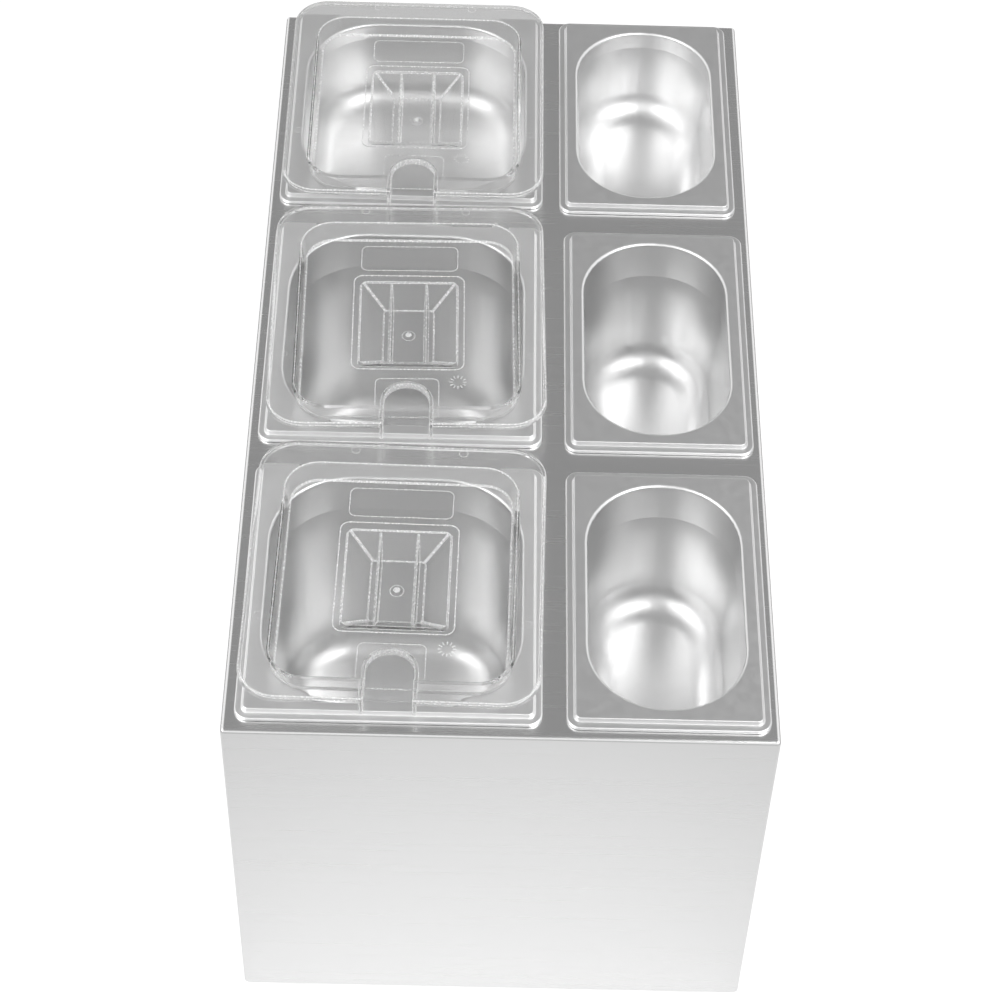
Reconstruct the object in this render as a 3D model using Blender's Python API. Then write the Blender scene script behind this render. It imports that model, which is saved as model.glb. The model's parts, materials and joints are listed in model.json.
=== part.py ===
"""Condiment pan holder: a folded stainless box with six gastronorm pans hung in its deck.

Three sixth-size pans under clear notched lids stand in the left column, and three open
ninth-size pans in the right one. World axes: X right, Y to the rear, Z up, in metres. The
origin is the centre of the footprint, on the surface that the rubber feet stand on.
"""

import math

import bmesh
import bpy
from mathutils import Vector

# Gastronorm sizes: flange outlines, and depths from the flange's top
PAN_LENGTH = 0.176
SIXTH_WIDTH = 0.162
NINTH_WIDTH = 0.108
DEEP = 0.150
MEDIUM = 0.100
SHALLOW = 0.065

# Layout of the deck: margins and gaps between flange outlines
SIDE_MARGIN = 0.0055
END_MARGIN = 0.004
COLUMN_GAP = 0.013
ROW_GAP = 0.017

# Folded housing
HOUSING_HEIGHT = 0.265
SHEET = 0.0012
BEND_RADIUS = 0.0025
RETURN_FLANGE = 0.020
GROUND_EDGE = 0.001
CUTOUT_CLEARANCE = 0.0042
SEAM = 0.0003
OVERRUN = 0.003

# Channel rails welded under the deck between the rows
RAIL_WIDTH = 0.024
RAIL_DEPTH = 0.018

# Push-in rubber feet
FOOT_PROUD = 0.003
FOOT_RADIUS = 0.008
FOOT_CHAMFER = 0.0008
FOOT_NECK_RADIUS = 0.003
FOOT_HOLE_CLEARANCE = 0.0004
FOOT_BULB_RADIUS = 0.0045
FOOT_BULB_HEIGHT = 0.004
FOOT_SIDE_INSET = 0.032

# Deep-drawn pan section, from the outer edge of its flange inwards
PAN_SHEET = 0.0008
FLANGE_CORNER = 0.0075
FLANGE_RISE = 0.005
LEDGE_RISE = 0.0023
LEDGE_WIDTH = 0.0037
LIP_BEND = 0.0009
STEP_RUN = 0.0008
STEP_BEND = 0.0007
MOUTH_INSET = 0.012
MOUTH_CORNER = 0.045
MOUTH_BEND = 0.002
NECK_DEPTH = 0.027
SHALLOW_NECK_DEPTH = 0.012
SHOULDER_WIDTH = 0.0022
SHOULDER_DROP = 0.0026
BODY_DRAFT = math.radians(2)
FLOOR_FILLET = 0.018

# Moulded lid section, from its outer edge inwards
LID_SIDE_SETBACK = 0.001
LID_END_OVERHANG = 0.0005
LID_CORNER = 0.021
LID_SHEET = 0.002
SKIRT_HEIGHT = 0.0042
SKIRT_DRAFT = 0.0003
RIM_BEND = 0.0026
RIM_SIDE = 0.0165
RIM_END = 0.015
POCKET_DEPTH = 0.014
POCKET_CORNER = 0.018
POCKET_DRAFT = 0.0012

# Finger hopper sunk in the lid's pocket, with its two grip fins
HOPPER_WIDTH = 0.0565
HOPPER_LENGTH = 0.066
HOPPER_CORNER = 0.0035
HOPPER_SIDE_SLOPE = 0.0135
HOPPER_END_SLOPE = 0.012
HOPPER_DEPTH = 0.012
HOPPER_REARWARD = 0.0032
FIN_SPACING = 0.0208
FIN_THICKNESS = 0.002
FIN_REVEAL = 0.0004

# Spoon notch at the lid's front
NOTCH_WIDTH = 0.026
NOTCH_REACH = 0.041
NOTCH_WALL = 0.002
NOTCH_LIP = 0.0025

# Where the loose pieces rest: shares of a pan's clearance, and of a lid's furthest shift
SIXTH_PLAY_SHARES = ((0.29, 0.67), (0.12, 0.67), (0.12, 0.90))
NINTH_PLAY_SHARES = ((0.21, 0.36), (0.10, 0.05), (-0.50, 0.24))
LID_SHIFT = 0.0085
LID_SHIFT_SHARES = ((0.16, 0.07), (0.26, -0.19), (0.11, -0.98))
LID_TURNS = (math.radians(-1), math.radians(1), 0.0)

# Rows from front to rear, and the depth of the pan in each
ROWS = ("front", "middle", "rear")
SIXTH_DEPTHS = (DEEP, DEEP, SHALLOW)
NINTH_DEPTHS = (MEDIUM, MEDIUM, SHALLOW)
SIDES = (("left", -1), ("right", 1))
ENDS = (("front", -1), ("rear", 1))

# Facets of a quarter turn, and the roundest a corner gets as a share of its outline
QUARTER = math.radians(90)
PAN_STEPS = 5
LID_STEPS = 4
CUTOUT_STEPS = 8
BEND_STEPS = 3
BULGE_STEPS = 2
FOOT_SIDES = 16
ROUND_SHARE = 0.485
SHARP_ANGLE = math.radians(35)

# Places that follow from the sizes above
ROW_COUNT = len(ROWS)
ROW_PITCH = PAN_LENGTH + ROW_GAP
HOUSING_WIDTH = 2 * SIDE_MARGIN + SIXTH_WIDTH + COLUMN_GAP + NINTH_WIDTH
HOUSING_LENGTH = 2 * END_MARGIN + ROW_COUNT * PAN_LENGTH + (ROW_COUNT - 1) * ROW_GAP
HALF_WIDTH = HOUSING_WIDTH / 2
HALF_LENGTH = HOUSING_LENGTH / 2
SIXTH_X = SIDE_MARGIN + SIXTH_WIDTH / 2 - HALF_WIDTH
NINTH_X = HALF_WIDTH - SIDE_MARGIN - NINTH_WIDTH / 2
FIRST_ROW_Y = END_MARGIN + PAN_LENGTH / 2 - HALF_LENGTH
UNDER_DECK = HOUSING_HEIGHT - SHEET - SEAM
INNER_BEND = BEND_RADIUS - SHEET
CUTOUT_GROWTH = PAN_SHEET + CUTOUT_CLEARANCE
CUTOUT_INSET = MOUTH_INSET - CUTOUT_GROWTH
LID_WIDTH = SIXTH_WIDTH - 2 * LID_SIDE_SETBACK
LID_LENGTH = PAN_LENGTH + 2 * LID_END_OVERHANG
LID_FRONT = -LID_LENGTH / 2
POCKET_FLOOR = FLANGE_RISE + SEAM + LID_SHEET
LID_TOP = POCKET_FLOOR + POCKET_DEPTH
HOPPER_FLOOR = POCKET_FLOOR - HOPPER_DEPTH

# How deep the ribs, the lip and the walls of a lid root in its shell
RIB_ROOT = LID_SHEET / 2
WALL_ROOT = LID_SHEET / 3


def finish(name, colour, metallic, roughness, transmission=0.0):
    """A Principled material for one piece."""
    material = bpy.data.materials.new(name)
    material.use_nodes = True
    shader = material.node_tree.nodes["Principled BSDF"]
    shader.inputs["Base Color"].default_value = (*colour, 1.0)
    shader.inputs["Metallic"].default_value = metallic
    shader.inputs["Roughness"].default_value = roughness
    shader.inputs["Transmission Weight"].default_value = transmission
    return material


def brushed_steel(name):
    """Stainless sheet brushed in one direction."""
    return finish(name + "_brushed_stainless", (0.56, 0.57, 0.58), 1.0, 0.38)


def satin_steel(name):
    """Satin face of a drawn stainless pan."""
    return finish(name + "_satin_stainless", (0.64, 0.65, 0.66), 1.0, 0.26)


def clear_plastic(name):
    """Clear moulded polycarbonate."""
    return finish(name + "_clear_polycarbonate", (0.93, 0.95, 0.96), 0.0, 0.06, 0.92)


def black_rubber(name):
    """Moulded rubber of a foot."""
    return finish(name + "_rubber", (0.03, 0.03, 0.03), 0.0, 0.75)


def turn(angle):
    """The point at an angle on the unit circle."""
    return Vector((math.cos(angle), math.sin(angle)))


def rounded_outline(width, length, corner, steps):
    """Counter-clockwise points of a rounded rectangle about the origin."""
    radius = min(corner, ROUND_SHARE * min(width, length))
    points = []
    for quarter, (side, end) in enumerate(((1, 1), (-1, 1), (-1, -1), (1, -1))):
        centre = Vector((side * (width / 2 - radius), end * (length / 2 - radius)))
        for step in range(steps + 1):
            points.append(centre + radius * turn(QUARTER * (quarter + step / steps)))
    return points


def round_outline(radius, centre=(0.0, 0.0)):
    """Counter-clockwise points of a circle."""
    angles = (math.tau * step / FOOT_SIDES for step in range(FOOT_SIDES))
    return [Vector(centre) + radius * turn(angle) for angle in angles]


def arched_outline(half_width, front, crown):
    """Counter-clockwise points of a slot that is square in front and round behind."""
    centre = Vector((0.0, crown - half_width))
    points = [Vector((-half_width, front)), Vector((half_width, front))]
    for step in range(2 * CUTOUT_STEPS + 1):
        points.append(centre + half_width * turn(QUARTER * step / CUTOUT_STEPS))
    return points


def add_ring(bm, outline, height, centre=(0.0, 0.0)):
    """Vertices that follow an outline at one height."""
    offset = Vector(centre)
    return [bm.verts.new((*(point + offset), height)) for point in outline]


def skin(bm, rings, closed_first=False):
    """Faces between a list of rings, with the last one closed, and the first on request."""
    for near, far in zip(rings, rings[1:]):
        for index in range(len(near)):
            after = (index + 1) % len(near)
            bm.faces.new((near[index], near[after], far[after], far[index]))
    bm.faces.new(rings[-1])
    if closed_first:
        bm.faces.new(reversed(rings[0]))


def add_prism(bm, outline, low, high, centre=(0.0, 0.0)):
    """A closed upright prism over an outline."""
    skin(bm, [add_ring(bm, outline, height, centre) for height in (low, high)], True)


def as_object(name, bm, material=None):
    """Turn a bmesh into a linked object."""
    mesh = bpy.data.meshes.new(name)
    bm.to_mesh(mesh)
    bm.free()
    if material:
        mesh.materials.append(material)
    thing = bpy.data.objects.new(name, mesh)
    bpy.context.scene.collection.objects.link(thing)
    shade(thing)
    return thing


def as_tool(name, bm):
    """Turn a bmesh into a hidden cutter, or a piece that is joined to another."""
    bmesh.ops.recalc_face_normals(bm, faces=bm.faces)
    tool = as_object(name, bm)
    tool.hide_render = True
    tool.display_type = "WIRE"
    return tool


def shade(thing):
    """Smooth shading that keeps the sharp folds."""
    thing.data.shade_smooth()
    thing.data.set_sharp_from_angle(angle=SHARP_ANGLE)


def settle(thing):
    """Make the result of an object's modifiers its own mesh."""
    depsgraph = bpy.context.evaluated_depsgraph_get()
    settled = bpy.data.meshes.new_from_object(thing.evaluated_get(depsgraph))
    settled.name = thing.name
    thing.modifiers.clear()
    thing.data = settled
    shade(thing)


def combine(target, tool, operation):
    """Cut or join a tool into its target, and drop the tool."""
    modifier = target.modifiers.new(tool.name, "BOOLEAN")
    modifier.operation = operation
    modifier.solver = "EXACT"
    modifier.object = tool
    settle(target)
    bpy.data.objects.remove(tool, do_unlink=True)


def thicken(thing, thickness):
    """Give a skin its wall, behind the face that was modelled."""
    modifier = thing.modifiers.new("wall", "SOLIDIFY")
    modifier.thickness = thickness
    modifier.offset = -1
    modifier.use_even_offset = True
    settle(thing)


def folded_section(path):
    """Outer and inner points of a sheet folded to the right at each inner point of a path."""
    start_run = (path[1] - path[0]).normalized()
    outer = [path[0]]
    inner = [path[0] + SHEET * Vector((start_run.y, -start_run.x))]
    for before, fold, after in zip(path, path[1:], path[2:]):
        arriving = (fold - before).normalized()
        leaving = (after - fold).normalized()
        centre = fold + BEND_RADIUS * (leaving - arriving)
        for step in range(BEND_STEPS + 1):
            angle = QUARTER * step / BEND_STEPS
            spoke = arriving * math.sin(angle) - leaving * math.cos(angle)
            outer.append(centre + BEND_RADIUS * spoke)
            inner.append(centre + INNER_BEND * spoke)
    end_run = (path[-1] - path[-2]).normalized()
    outer.append(path[-1])
    inner.append(path[-1] + SHEET * Vector((end_run.y, -end_run.x)))
    return outer, inner


def folded_sheet(name, path, place, half_span, corner=0.0):
    """Fold a sheet along a path. Its start gets round corners, or else its edges are ground."""
    outer, inner = folded_section(path)
    bm = bmesh.new()
    rings = []
    for station in (-half_span, half_span):
        rings.append([bm.verts.new(place(point, station)) for point in outer + inner[::-1]])
    skin(bm, rings, True)
    bmesh.ops.recalc_face_normals(bm, faces=bm.faces)
    if corner:
        corners = [bm.edges.get((ring[0], ring[-1])) for ring in rings]
        bmesh.ops.bevel(bm, geom=corners, offset=corner, segments=BEND_STEPS, profile=0.5,
                        affect="EDGES", material=-1)
    else:
        ground = []
        for ring in rings:
            outer_ring = ring[:len(outer)]
            ground += [bm.edges.get(pair) for pair in zip(outer_ring, outer_ring[1:])]
        bmesh.ops.bevel(bm, geom=ground, offset=GROUND_EDGE, segments=2, profile=0.5,
                        affect="EDGES", material=-1)
    return as_object(name, bm, brushed_steel(name))


def across(point, station):
    """Place a front-to-rear section at a station along X."""
    return (station, point.x, point.y)


def along(side):
    """Place a left-to-right section at a station along Y, on one side."""
    return lambda point, station: (side * point.x, station, point.y)


def pan_places():
    """Every pan as kind, row name, width, depth, middle of its cut-out and own middle."""
    columns = (("sixth", SIXTH_WIDTH, SIXTH_X, SIXTH_DEPTHS, SIXTH_PLAY_SHARES),
               ("ninth", NINTH_WIDTH, NINTH_X, NINTH_DEPTHS, NINTH_PLAY_SHARES))
    for kind, width, column_x, depths, play_shares in columns:
        for row, row_name in enumerate(ROWS):
            seat = Vector((column_x, FIRST_ROW_Y + row * ROW_PITCH))
            middle = seat + CUTOUT_CLEARANCE * Vector(play_shares[row])
            yield kind, row_name, width, depths[row], seat, middle


def cutout_tool():
    """The six rounded openings of the deck."""
    bm = bmesh.new()
    corner = MOUTH_CORNER + CUTOUT_GROWTH
    for _kind, _row, width, _depth, seat, _middle in pan_places():
        outline = rounded_outline(width - 2 * CUTOUT_INSET, PAN_LENGTH - 2 * CUTOUT_INSET,
                                  corner, CUTOUT_STEPS)
        add_prism(bm, outline, UNDER_DECK - OVERRUN, HOUSING_HEIGHT + OVERRUN, seat)
    return as_tool("cutouts", bm)


def mitre_tool(inward_points):
    """Four corner cutters, whose outline is given inwards from a bottom corner."""
    bm = bmesh.new()
    for _side_name, side in SIDES:
        for _end_name, end in ENDS:
            outline = [Vector((side * (HALF_WIDTH - inward.x), end * (HALF_LENGTH - inward.y)))
                       for inward in inward_points]
            add_prism(bm, outline, FOOT_PROUD - OVERRUN, FOOT_PROUD + BEND_RADIUS)
    return as_tool("mitres", bm)


def foot_places():
    """Name and place of each of the four feet, on the return flanges of the ends."""
    for side_name, side in SIDES:
        for end_name, end in ENDS:
            place = Vector((side * (HALF_WIDTH - FOOT_SIDE_INSET),
                            end * (HALF_LENGTH - (RETURN_FLANGE + SHEET) / 2)))
            yield f"foot_{end_name}_{side_name}", place


def foot_hole_tool():
    """The holes that the feet are pushed into."""
    bm = bmesh.new()
    for _name, place in foot_places():
        outline = round_outline(FOOT_NECK_RADIUS + FOOT_HOLE_CLEARANCE, place)
        add_prism(bm, outline, FOOT_PROUD - OVERRUN, FOOT_PROUD + SHEET + OVERRUN)
    return as_tool("foot_holes", bm)


def build_wrap():
    """Deck, front and rear panel and their return flanges, folded from one sheet."""
    path = [Vector((-HALF_LENGTH + RETURN_FLANGE, FOOT_PROUD)),
            Vector((-HALF_LENGTH, FOOT_PROUD)),
            Vector((-HALF_LENGTH, HOUSING_HEIGHT)),
            Vector((HALF_LENGTH, HOUSING_HEIGHT)),
            Vector((HALF_LENGTH, FOOT_PROUD)),
            Vector((HALF_LENGTH - RETURN_FLANGE, FOOT_PROUD))]
    wrap = folded_sheet("deck_wrap", path, across, HALF_WIDTH)
    combine(wrap, cutout_tool(), "DIFFERENCE")
    reach = RETURN_FLANGE + OVERRUN
    gap = SEAM * math.sqrt(2)
    combine(wrap, mitre_tool([Vector((-OVERRUN, -OVERRUN)), Vector((gap - OVERRUN, -OVERRUN)),
                              Vector((reach + gap, reach)), Vector((-OVERRUN, reach))]),
            "DIFFERENCE")
    combine(wrap, foot_hole_tool(), "DIFFERENCE")


def build_side_panels():
    """Side panels that butt under the deck and between the end panels."""
    half_span = HALF_LENGTH - SHEET - SEAM
    path = [Vector((HALF_WIDTH, UNDER_DECK)), Vector((HALF_WIDTH, FOOT_PROUD)),
            Vector((HALF_WIDTH - RETURN_FLANGE, FOOT_PROUD))]
    reach = RETURN_FLANGE + OVERRUN
    for side_name, side in SIDES:
        panel = folded_sheet(f"{side_name}_side_panel", path, along(side), half_span,
                             INNER_BEND - SEAM)
        combine(panel, mitre_tool([Vector((0.0, 0.0)), Vector((reach, 0.0)),
                                   Vector((reach, reach))]), "DIFFERENCE")


def build_rails():
    """Channel rails under the two bridges between the rows."""
    for gap, (end_name, _end) in enumerate(ENDS):
        middle = FIRST_ROW_Y + gap * ROW_PITCH + ROW_PITCH / 2
        front = middle - RAIL_WIDTH / 2
        rear = middle + RAIL_WIDTH / 2
        low = UNDER_DECK - RAIL_DEPTH
        path = [Vector((front, low)), Vector((front, UNDER_DECK)),
                Vector((rear, UNDER_DECK)), Vector((rear, low))]
        folded_sheet(f"cross_rail_{end_name}", path, across, HALF_WIDTH - SHEET - SEAM)


def build_feet():
    """Rubber feet: a pad under the flange, a neck through its hole and a bulb above it."""
    pad_top = FOOT_PROUD - SEAM
    bulb_low = FOOT_PROUD + SHEET + SEAM
    profile = ((FOOT_RADIUS - FOOT_CHAMFER, 0.0), (FOOT_RADIUS, FOOT_CHAMFER),
               (FOOT_RADIUS, pad_top), (FOOT_NECK_RADIUS, pad_top),
               (FOOT_NECK_RADIUS, bulb_low), (FOOT_BULB_RADIUS, bulb_low),
               (FOOT_NECK_RADIUS, bulb_low + FOOT_BULB_HEIGHT))
    for name, place in foot_places():
        bm = bmesh.new()
        skin(bm, [add_ring(bm, round_outline(radius), height) for radius, height in profile],
             True)
        foot = as_object(name, bm, black_rubber(name))
        foot.location = (*place, 0.0)


def pan_section(depth):
    """Inset from the flange outline, height over the deck and corner of each pan ring."""
    neck = SHALLOW_NECK_DEPTH if depth <= SHALLOW else NECK_DEPTH
    flat_inset = LEDGE_WIDTH + STEP_RUN + STEP_BEND
    flat_corner = FLANGE_CORNER - LEDGE_WIDTH
    neck_foot = FLANGE_RISE - neck
    shoulder_inset = MOUTH_INSET + SHOULDER_WIDTH
    shoulder_foot = neck_foot - SHOULDER_DROP
    floor = FLANGE_RISE - depth + PAN_SHEET
    wall_foot = floor + FLOOR_FILLET
    wall_inset = shoulder_inset + (shoulder_foot - wall_foot) * math.tan(BODY_DRAFT)
    section = [(0.0, SEAM, FLANGE_CORNER),
               (0.0, LEDGE_RISE - LIP_BEND, FLANGE_CORNER),
               (LIP_BEND, LEDGE_RISE, FLANGE_CORNER - LIP_BEND),
               (LEDGE_WIDTH, LEDGE_RISE, flat_corner),
               (flat_inset - STEP_BEND, FLANGE_RISE - STEP_BEND / 2, flat_corner),
               (flat_inset, FLANGE_RISE, flat_corner)]
    for step in range(BULGE_STEPS + 1):
        angle = QUARTER * step / BULGE_STEPS
        inset = MOUTH_INSET - MOUTH_BEND * (1 - math.sin(angle))
        height = FLANGE_RISE - MOUTH_BEND * (1 - math.cos(angle))
        section.append((inset, height, MOUTH_CORNER + MOUTH_INSET - inset))
    section.append((MOUTH_INSET, neck_foot, MOUTH_CORNER))
    section.append((shoulder_inset, shoulder_foot, MOUTH_CORNER - SHOULDER_WIDTH))
    for step in range(BULGE_STEPS + 1):
        angle = QUARTER * step / BULGE_STEPS
        inset = wall_inset + FLOOR_FILLET * (1 - math.cos(angle))
        height = wall_foot - FLOOR_FILLET * math.sin(angle)
        section.append((inset, height, MOUTH_CORNER + MOUTH_INSET - inset))
    return section


def build_pan(name, width, depth, middle):
    """One drawn pan, hung by its stepped flange on the deck."""
    bm = bmesh.new()
    rings = []
    for inset, height, corner in pan_section(depth):
        outline = rounded_outline(width - 2 * inset, PAN_LENGTH - 2 * inset, corner, PAN_STEPS)
        rings.append(add_ring(bm, outline, height))
    skin(bm, rings)
    pan = as_object(name, bm, satin_steel(name))
    thicken(pan, PAN_SHEET)
    pan.location = (*middle, HOUSING_HEIGHT)
    return pan


def lid_shell():
    """The lid's moulded shell: skirt, rim, pocket and finger hopper."""
    pocket_width = LID_WIDTH - 2 * RIM_SIDE
    pocket_length = LID_LENGTH - 2 * RIM_END
    rim = ((0.0, LID_TOP - SKIRT_HEIGHT), (SKIRT_DRAFT, LID_TOP - RIM_BEND),
           (SKIRT_DRAFT + RIM_BEND, LID_TOP))
    pocket = ((-RIM_BEND, LID_TOP), (0.0, LID_TOP - RIM_BEND),
              (POCKET_DRAFT, POCKET_FLOOR + RIM_BEND), (POCKET_DRAFT + RIM_BEND, POCKET_FLOOR))
    bm = bmesh.new()
    rings = []
    for width, length, corner, section in ((LID_WIDTH, LID_LENGTH, LID_CORNER, rim),
                                           (pocket_width, pocket_length, POCKET_CORNER, pocket)):
        for inset, height in section:
            outline = rounded_outline(width - 2 * inset, length - 2 * inset, corner - inset,
                                      LID_STEPS)
            rings.append(add_ring(bm, outline, height))
    hopper = ((0.0, 0.0, POCKET_FLOOR), (HOPPER_SIDE_SLOPE, HOPPER_END_SLOPE, HOPPER_FLOOR))
    for side_inset, end_inset, height in hopper:
        outline = rounded_outline(HOPPER_WIDTH - 2 * side_inset, HOPPER_LENGTH - 2 * end_inset,
                                  HOPPER_CORNER, LID_STEPS)
        rings.append(add_ring(bm, outline, height, (0.0, HOPPER_REARWARD)))
    skin(bm, rings)
    shell = as_object("lid_shell", bm)
    thicken(shell, LID_SHEET)
    return shell


def notch_lip_tool():
    """Low arched lip round the spoon notch, on the pocket's floor."""
    bm = bmesh.new()
    pocket_front = LID_FRONT + RIM_END - RIB_ROOT
    outline = arched_outline(NOTCH_WIDTH / 2 + NOTCH_WALL, pocket_front,
                             LID_FRONT + NOTCH_REACH + NOTCH_WALL)
    add_prism(bm, outline, POCKET_FLOOR - RIB_ROOT, POCKET_FLOOR + NOTCH_LIP)
    return as_tool("notch_lip", bm)


def notch_walls_tool():
    """Walls that close the rim on both sides of the spoon notch."""
    bm = bmesh.new()
    half_width = NOTCH_WIDTH / 2 + NOTCH_WALL
    front = LID_FRONT + RIB_ROOT
    rear = LID_FRONT + RIM_END - WALL_ROOT
    outline = [Vector((-half_width, front)), Vector((half_width, front)),
               Vector((half_width, rear)), Vector((-half_width, rear))]
    add_prism(bm, outline, POCKET_FLOOR - WALL_ROOT, LID_TOP - RIB_ROOT)
    return as_tool("notch_walls", bm)


def fin_tool(side):
    """One grip fin across the hopper, from its floor up to the pocket's floor."""
    bm = bmesh.new()
    mouth = HOPPER_LENGTH / 2 + RIB_ROOT
    foot = mouth - HOPPER_END_SLOPE
    root = HOPPER_FLOOR - RIB_ROOT
    section = [Vector((HOPPER_REARWARD - foot, root)), Vector((HOPPER_REARWARD + foot, root)),
               Vector((HOPPER_REARWARD + mouth, POCKET_FLOOR - FIN_REVEAL)),
               Vector((HOPPER_REARWARD - mouth, POCKET_FLOOR - FIN_REVEAL))]
    middle = side * FIN_SPACING / 2
    rings = []
    for station in (middle - FIN_THICKNESS / 2, middle + FIN_THICKNESS / 2):
        rings.append([bm.verts.new(across(point, station)) for point in section])
    skin(bm, rings, True)
    return as_tool("grip_fin", bm)


def notch_tool():
    """The spoon notch, open through rim, pocket wall and floor."""
    bm = bmesh.new()
    outline = arched_outline(NOTCH_WIDTH / 2, LID_FRONT - OVERRUN, LID_FRONT + NOTCH_REACH)
    add_prism(bm, outline, POCKET_FLOOR - LID_SHEET - OVERRUN, LID_TOP + OVERRUN)
    return as_tool("spoon_notch", bm)


def lid_mesh():
    """Mesh of one whole lid, about the middle of its pan."""
    lid = lid_shell()
    combine(lid, notch_walls_tool(), "UNION")
    combine(lid, notch_lip_tool(), "UNION")
    for _side_name, side in SIDES:
        combine(lid, fin_tool(side), "UNION")
    combine(lid, notch_tool(), "DIFFERENCE")
    mesh = lid.data
    bpy.data.objects.remove(lid, do_unlink=True)
    return mesh


def build_pans_and_lids():
    """Six pans, and a lid that rests on each sixth-size one."""
    mesh = lid_mesh()
    for kind, row_name, width, depth, _seat, middle in pan_places():
        pan = build_pan(f"{kind}_pan_{row_name}", width, depth, middle)
        if kind == "sixth":
            row = ROWS.index(row_name)
            lid = bpy.data.objects.new(f"lid_{row_name}", mesh.copy())
            lid.data.materials.clear()
            lid.data.materials.append(clear_plastic(lid.name))
            bpy.context.scene.collection.objects.link(lid)
            lid.parent = pan
            lid.location = (*(LID_SHIFT * Vector(LID_SHIFT_SHARES[row])), 0.0)
            lid.rotation_euler.z = LID_TURNS[row]


def main():
    """Build the whole holder in an empty scene."""
    for thing in list(bpy.data.objects):
        bpy.data.objects.remove(thing, do_unlink=True)
    build_wrap()
    build_side_panels()
    build_rails()
    build_feet()
    build_pans_and_lids()


main()
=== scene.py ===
"""Looks of a countertop condiment pan holder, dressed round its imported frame.

A folded brushed stainless box carries six drawn pans in its deck. The three wide ones have
clear moulded lids with a finger hopper and a spoon notch. Every length is in metres, and
every piece stands where the frame's own node stands. Axes: X right, Y to the rear, Z up.
"""

from __future__ import annotations

import json
import logging
import math
from collections.abc import Iterable, Iterator
from dataclasses import dataclass
from enum import Enum

import bmesh
import bpy
from bmesh.types import BMEdge, BMesh, BMFace, BMVert
from bpy.types import ID, Material, Mesh, Node, NodeSocket, NodeTree, Object
from mathutils import Matrix, Vector

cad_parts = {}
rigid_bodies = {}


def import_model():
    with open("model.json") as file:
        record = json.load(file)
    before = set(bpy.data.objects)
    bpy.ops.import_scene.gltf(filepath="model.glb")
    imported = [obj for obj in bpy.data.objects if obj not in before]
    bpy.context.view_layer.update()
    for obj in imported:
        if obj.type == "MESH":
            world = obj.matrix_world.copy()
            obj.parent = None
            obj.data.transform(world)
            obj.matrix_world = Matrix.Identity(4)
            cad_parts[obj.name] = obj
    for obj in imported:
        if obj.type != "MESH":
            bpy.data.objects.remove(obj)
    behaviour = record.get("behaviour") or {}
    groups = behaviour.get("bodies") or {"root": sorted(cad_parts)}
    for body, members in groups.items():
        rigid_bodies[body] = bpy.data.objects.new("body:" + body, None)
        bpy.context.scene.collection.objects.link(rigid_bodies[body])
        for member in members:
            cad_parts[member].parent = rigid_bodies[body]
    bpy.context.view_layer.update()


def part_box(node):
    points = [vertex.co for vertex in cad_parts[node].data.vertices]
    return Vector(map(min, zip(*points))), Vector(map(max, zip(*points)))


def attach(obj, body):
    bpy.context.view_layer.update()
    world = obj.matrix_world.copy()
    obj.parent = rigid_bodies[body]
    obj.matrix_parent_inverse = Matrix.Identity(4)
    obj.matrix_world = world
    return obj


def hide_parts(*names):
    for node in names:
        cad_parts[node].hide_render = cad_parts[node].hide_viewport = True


LOG = logging.getLogger("pan_holder")
MM = 0.001
LEVEL = 0.0
UPRIGHT = 90.0
UP = (0.0, 0.0, 1.0)
SMOOTH_BELOW = math.radians(38)
FLAT_BELOW = math.radians(0.6)
LEVEL_FACE_SHARE = 0.999  # how far a normal rises, past which its face counts as level
EDGE_ON_SHARE = 0.01  # how far a normal reaches along an axis that its face lies along
SHORT_END_SHARE = 0.485  # of a width: a corner that leaves a short straight end
ROUND_END_SHARE = 0.499  # of a width: a corner that makes almost a half circle
NOISE_LOW, NOISE_HIGH = 0.3, 0.7  # most values of a noise lie between these
WHITE = "FFFFFF"
HIGHLIGHT_SLOT = 1  # the second of a lid's two material slots, which holds the painted highlights


class Slot(Enum):
    """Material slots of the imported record."""

    SHEET = "brushed_stainless"
    PAN = "satin_stainless"
    LID = "clear_polycarbonate"
    FOOT = "rubber_foot"


class Join(Enum):
    """What a tool does to its target."""

    ADD = "UNION"
    CUT = "DIFFERENCE"


class Row(Enum):
    """Rows of pans from front to rear."""

    FRONT = "front"
    MIDDLE = "middle"
    REAR = "rear"


def linear(hex_colour: str) -> tuple[float, float, float, float]:
    """Turn an sRGB hex colour into a linear one with full alpha.

    Args:
        hex_colour: Six hex digits.

    Returns:
        Red, green, blue and alpha.
    """
    channels = (int(hex_colour[start:start + 2], 16) / 255 for start in (0, 2, 4))
    red, green, blue = (
        value / 12.92 if value <= 0.04045 else ((value + 0.055) / 1.055) ** 2.4
        for value in channels
    )
    return red, green, blue, 1.0


def add_node(tree: NodeTree, kind: str, values: dict | None = None,
             feeds: NodeSocket | None = None, **settings: object) -> Node:
    """Add a shader node with its settings, values and links.

    Args:
        tree: The node tree that takes the node.
        kind: The node's type name after ShaderNode.
        values: An input's name or number, and its value or the node or output that feeds it.
        feeds: An input that takes the node's first output.
        settings: The node's own properties.

    Returns:
        The new node.
    """
    node = tree.nodes.new(f"ShaderNode{kind}")
    for name, value in settings.items():
        setattr(node, name, value)
    for key, value in (values or {}).items():
        source = value.outputs[0] if isinstance(value, Node) else value
        if isinstance(source, NodeSocket):
            tree.links.new(source, node.inputs[key])
        else:
            node.inputs[key].default_value = source
    if feeds is not None:
        tree.links.new(node.outputs[0], feeds)
    return node


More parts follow.
